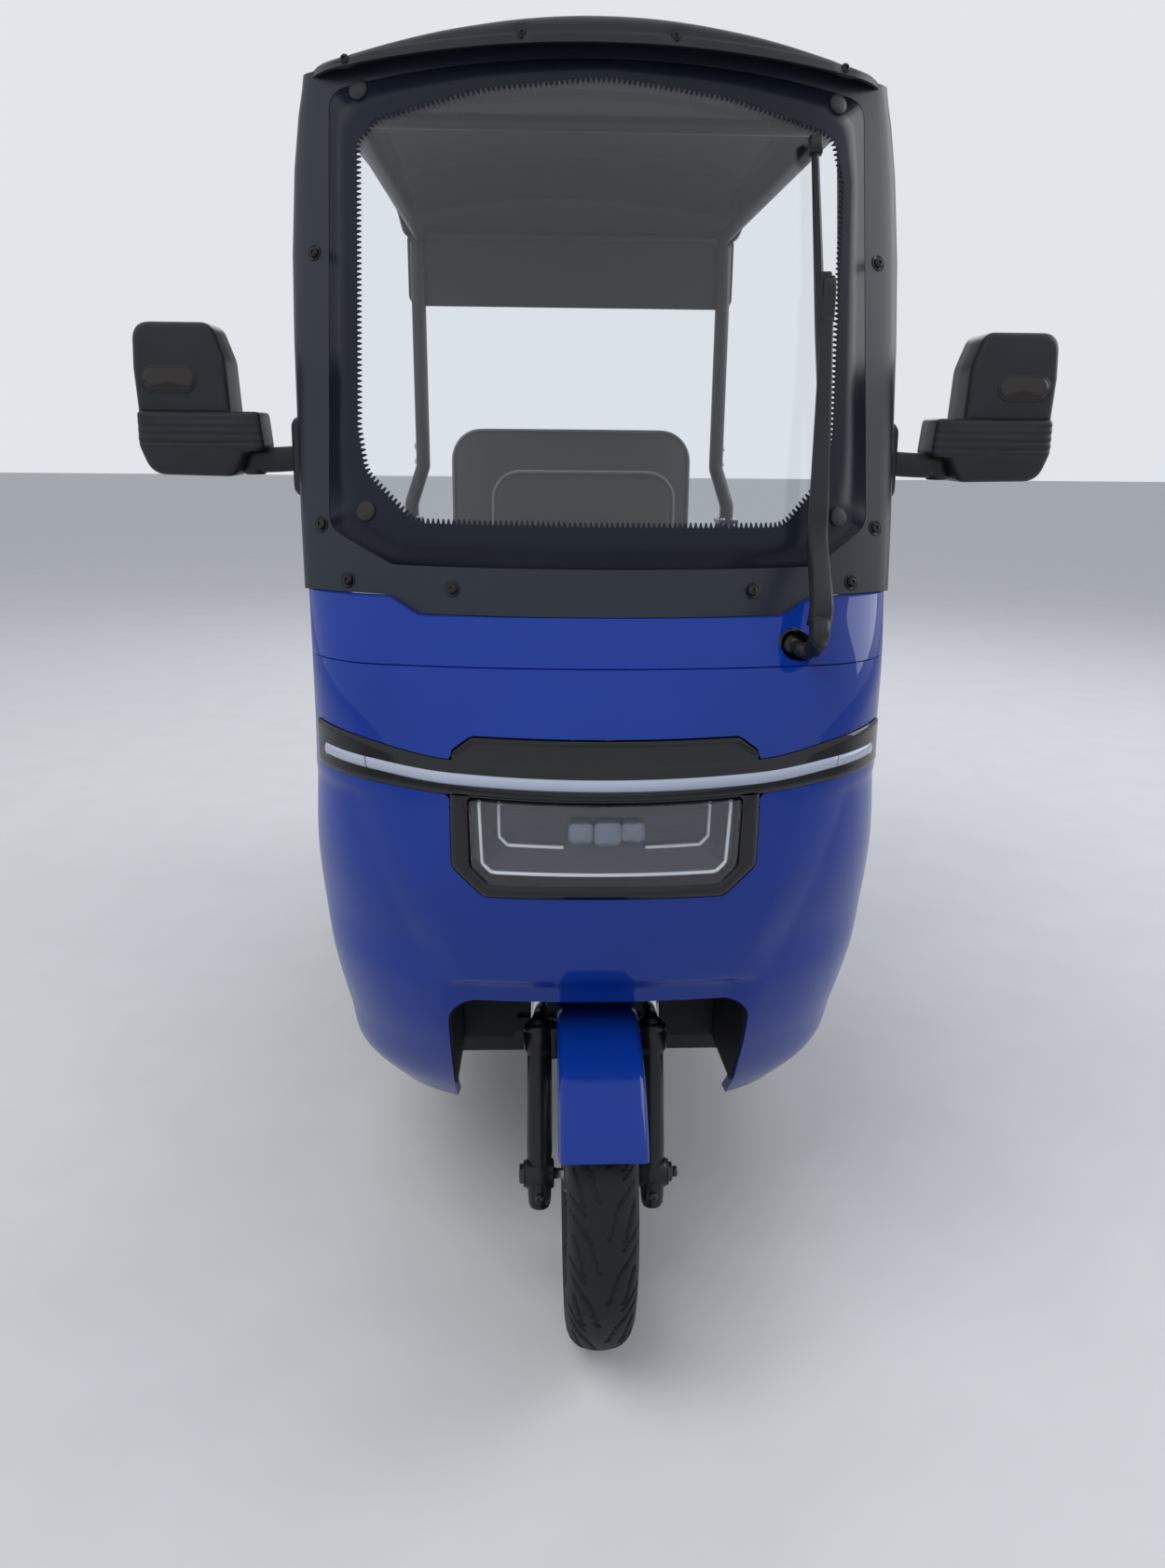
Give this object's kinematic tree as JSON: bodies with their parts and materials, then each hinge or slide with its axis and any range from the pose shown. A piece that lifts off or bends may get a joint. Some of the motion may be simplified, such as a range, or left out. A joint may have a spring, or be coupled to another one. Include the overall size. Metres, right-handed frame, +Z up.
{
  "type": "three wheeled electric cabin car",
  "caption": "Open-sided cabin tricycle with one steered front wheel, windscreen, roof, driver's seat and rear bench.",
  "frame": {"origin": "on the floor under the middle of the bounding box", "axes": "+Z up, the nose points along -Y, the driver's left is +X"},
  "size_m": [1.11, 2.1, 1.6639],
  "materials": {
    "body_blue": "gloss paint",
    "black_moulding": "satin grained",
    "roof_black": "satin",
    "gloss_black": "gloss",
    "glazing": "clear",
    "lamp_lens": "clear",
    "lamp_reflector": "bright",
    "diffuser": "frosted",
    "frame_steel": "satin black paint",
    "fork_black": "satin black paint",
    "fork_chrome": "hard chrome",
    "axle_steel": "zinc",
    "tyre": "rubber",
    "wheel_alloy": "painted",
    "mirror": "mirror",
    "seat_leather": "soft",
    "rubber": "matt",
    "tail_red": "clear red",
    "battery": "matt"
  },
  "bodies": {
    "chassis": {"battery_pack": "battery", "cabin_frame": "frame_steel", "driver_seat_box": "black_moulding", "floor_pan": "black_moulding", "front_cowl": "body_blue", "headlamp_bezel": "gloss_black", "headlamp_lens": "lamp_lens", "headlamp_unit": "lamp_reflector", "inner_legshield": "black_moulding", "light_bar": "gloss_black", "light_bar_strip": "diffuser", "main_frame": "frame_steel", "mirror_arms": "black_moulding", "mirror_glasses": "mirror", "mirror_housings": "black_moulding", "rear_axle": "frame_steel", "rear_bench_base": "black_moulding", "rear_body": "body_blue", "rear_bumper": "frame_steel", "rear_deck": "black_moulding", "rear_drop_panel": "roof_black", "rear_posts": "frame_steel", "rear_seat_back": "seat_leather", "rear_seat_cushion": "seat_leather", "rear_shocks": "frame_steel", "roof_panel": "roof_black", "side_sills": "body_blue", "tail_lamps": "tail_red", "upper_cowl": "body_blue", "wheel_arch_liner": "black_moulding", "windscreen": "glazing", "windscreen_frame": "black_moulding", "wiper_arm": "frame_steel", "wiper_blade": "rubber"},
    "steering": {"fork_legs": "fork_black", "fork_tubes": "fork_chrome", "front_axle": "axle_steel", "front_fender": "body_blue", "handlebar": "frame_steel", "handlebar_grips": "rubber"},
    "front_wheel": {"front_tyre": "tyre", "front_rim": "wheel_alloy"},
    "rear_wheel_left": {"rear_tyre_left": "tyre", "rear_rim_left": "wheel_alloy"},
    "rear_wheel_right": {"rear_tyre_right": "tyre", "rear_rim_right": "wheel_alloy"},
    "driver_seat": {"driver_seat_lid": "frame_steel", "driver_seat_cushion": "seat_leather", "driver_seat_back": "seat_leather"}
  },
  "joints": [
    {"name": "steering", "type": "hinge", "parent": "chassis", "child": "steering", "pos_m": [0, -0.80807, 0.21], "axis": [0, 0.342, 0.9397], "range_deg": [-35, 35]},
    {"name": "front_wheel_spin", "type": "hinge", "parent": "steering", "child": "front_wheel", "pos_m": [0, -0.84, 0.21], "axis": [1, 0, 0], "continuous": true},
    {"name": "rear_wheel_left_spin", "type": "hinge", "parent": "chassis", "child": "rear_wheel_left", "pos_m": [0.31, 0.7, 0.21], "axis": [1, 0, 0], "continuous": true},
    {"name": "rear_wheel_right_spin", "type": "hinge", "parent": "chassis", "child": "rear_wheel_right", "pos_m": [-0.31, 0.7, 0.21], "axis": [1, 0, 0], "continuous": true},
    {"name": "driver_seat_lift", "type": "hinge", "parent": "chassis", "child": "driver_seat", "pos_m": [0.012, -0.337, 0.492], "axis": [1, 0, 0], "range_deg": [0, 45]}
  ]
}
